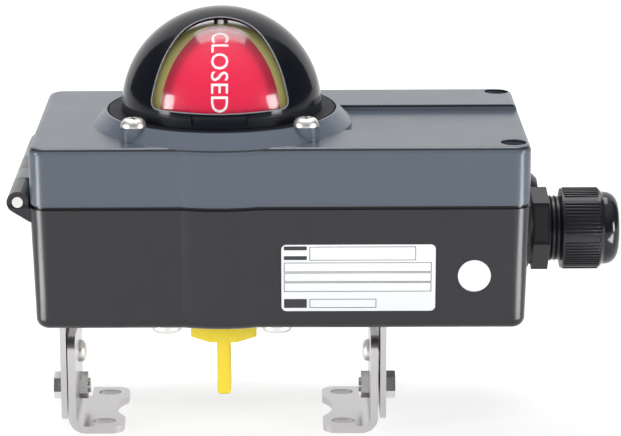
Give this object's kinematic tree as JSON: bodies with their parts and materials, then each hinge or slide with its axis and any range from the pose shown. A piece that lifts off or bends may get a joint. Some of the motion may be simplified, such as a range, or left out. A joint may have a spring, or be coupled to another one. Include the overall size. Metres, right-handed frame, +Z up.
{
  "type": "valve limit switch box",
  "caption": "Limit switch box for a quarter-turn valve actuator: hinged lid, domed position indicator, cable gland, shaft with cams and slotted feet.",
  "frame": {"origin": "centre of the four foot slots in the plane of the soles, on the shaft axis", "axes": "+Z up along the shaft towards the dome, +X towards the cable gland, +Y towards the air ports"},
  "size_m": [0.1999, 0.0902, 0.1403],
  "materials": {
    "housing_paint": "satin dark grey powder coat",
    "lid_paint": "satin blue-grey powder coat",
    "hood_black": "gloss black moulding",
    "clear_cover": "clear polycarbonate",
    "indicator_yellow": "yellow moulding",
    "indicator_red": "red moulding",
    "yellow_plastic": "yellow moulding",
    "stainless": "bright stainless",
    "bracket_steel": "satin stainless sheet",
    "bronze": "sintered bronze",
    "gland_black": "black moulding",
    "seal_rubber": "matt black",
    "black_plastic": "black moulding",
    "anodised": "anodised",
    "sensor_body": "dark blue moulding",
    "board_green": "green solder mask",
    "terminal_green": "green moulding",
    "cam_plastic": "light grey moulding",
    "button_plastic": "blue moulding"
  },
  "bodies": {
    "base": {"base_housing": "housing_paint", "blind_plug": "gland_black", "board_screws": "stainless", "box_screws": "stainless", "bracket_screws": "stainless", "circuit_board": "board_green", "foot_bolts": "stainless", "foot_button_screws": "stainless", "foot_left": "bracket_steel", "foot_nuts": "stainless", "foot_right": "bracket_steel", "foot_washers": "stainless", "gland_body": "gland_black", "gland_gasket": "seal_rubber", "gland_insert": "seal_rubber", "gland_nut": "gland_black", "hinge_pin": "stainless", "pilot_coil": "black_plastic", "pilot_valve": "black_plastic", "sensor_bracket": "bracket_steel", "sensor_lower": "sensor_body", "sensor_screws": "stainless", "sensor_upper": "sensor_body", "shaft_bush": "bronze", "terminal_block": "terminal_green", "terminal_screws": "stainless", "upper_bracket_left": "bracket_steel", "upper_bracket_right": "bracket_steel", "valve_block": "anodised", "valve_caps": "anodised", "valve_gasket": "seal_rubber", "valve_screws": "stainless"},
    "shaft": {"cam_flag_lower": "stainless", "cam_flag_upper": "stainless", "cam_lower": "cam_plastic", "cam_upper": "cam_plastic", "coupling": "yellow_plastic", "indicator_drum": "indicator_yellow", "indicator_screw": "stainless", "indicator_segments": "indicator_red", "retaining_ring": "stainless", "shaft": "stainless", "shaft_seal": "seal_rubber"},
    "lid": {"clear_dome": "clear_cover", "dome_seal": "seal_rubber", "hood": "hood_black", "hood_screws": "stainless", "lid": "lid_paint", "lid_seal": "seal_rubber"},
    "lid_screw_rear": {"lid_screw_rear": "stainless"},
    "lid_screw_front": {"lid_screw_front": "stainless"},
    "override_button": {"override_button": "button_plastic"}
  },
  "joints": [
    {"name": "shaft_turn", "type": "hinge", "parent": "base", "child": "shaft", "pos_m": [0, 0, 0.06], "axis": [0, 0, 1], "range_deg": [0, 90]},
    {"name": "lid_hinge", "type": "hinge", "parent": "base", "child": "lid", "pos_m": [-0.0647, 0.003, 0.0843], "axis": [0, -1, 0], "range_deg": [0, 110]},
    {"name": "lid_screw_rear_slide", "type": "slide", "parent": "lid", "child": "lid_screw_rear", "axis": [0, 0, 1], "range_m": [0, 0.007]},
    {"name": "lid_screw_front_slide", "type": "slide", "parent": "lid", "child": "lid_screw_front", "axis": [0, 0, 1], "range_m": [0, 0.007]},
    {"name": "override_press", "type": "slide", "parent": "base", "child": "override_button", "axis": [0, 0, -1], "range_m": [0, 0.0015], "stiffness_N_per_m": 300, "springref_m": -0.001}
  ]
}
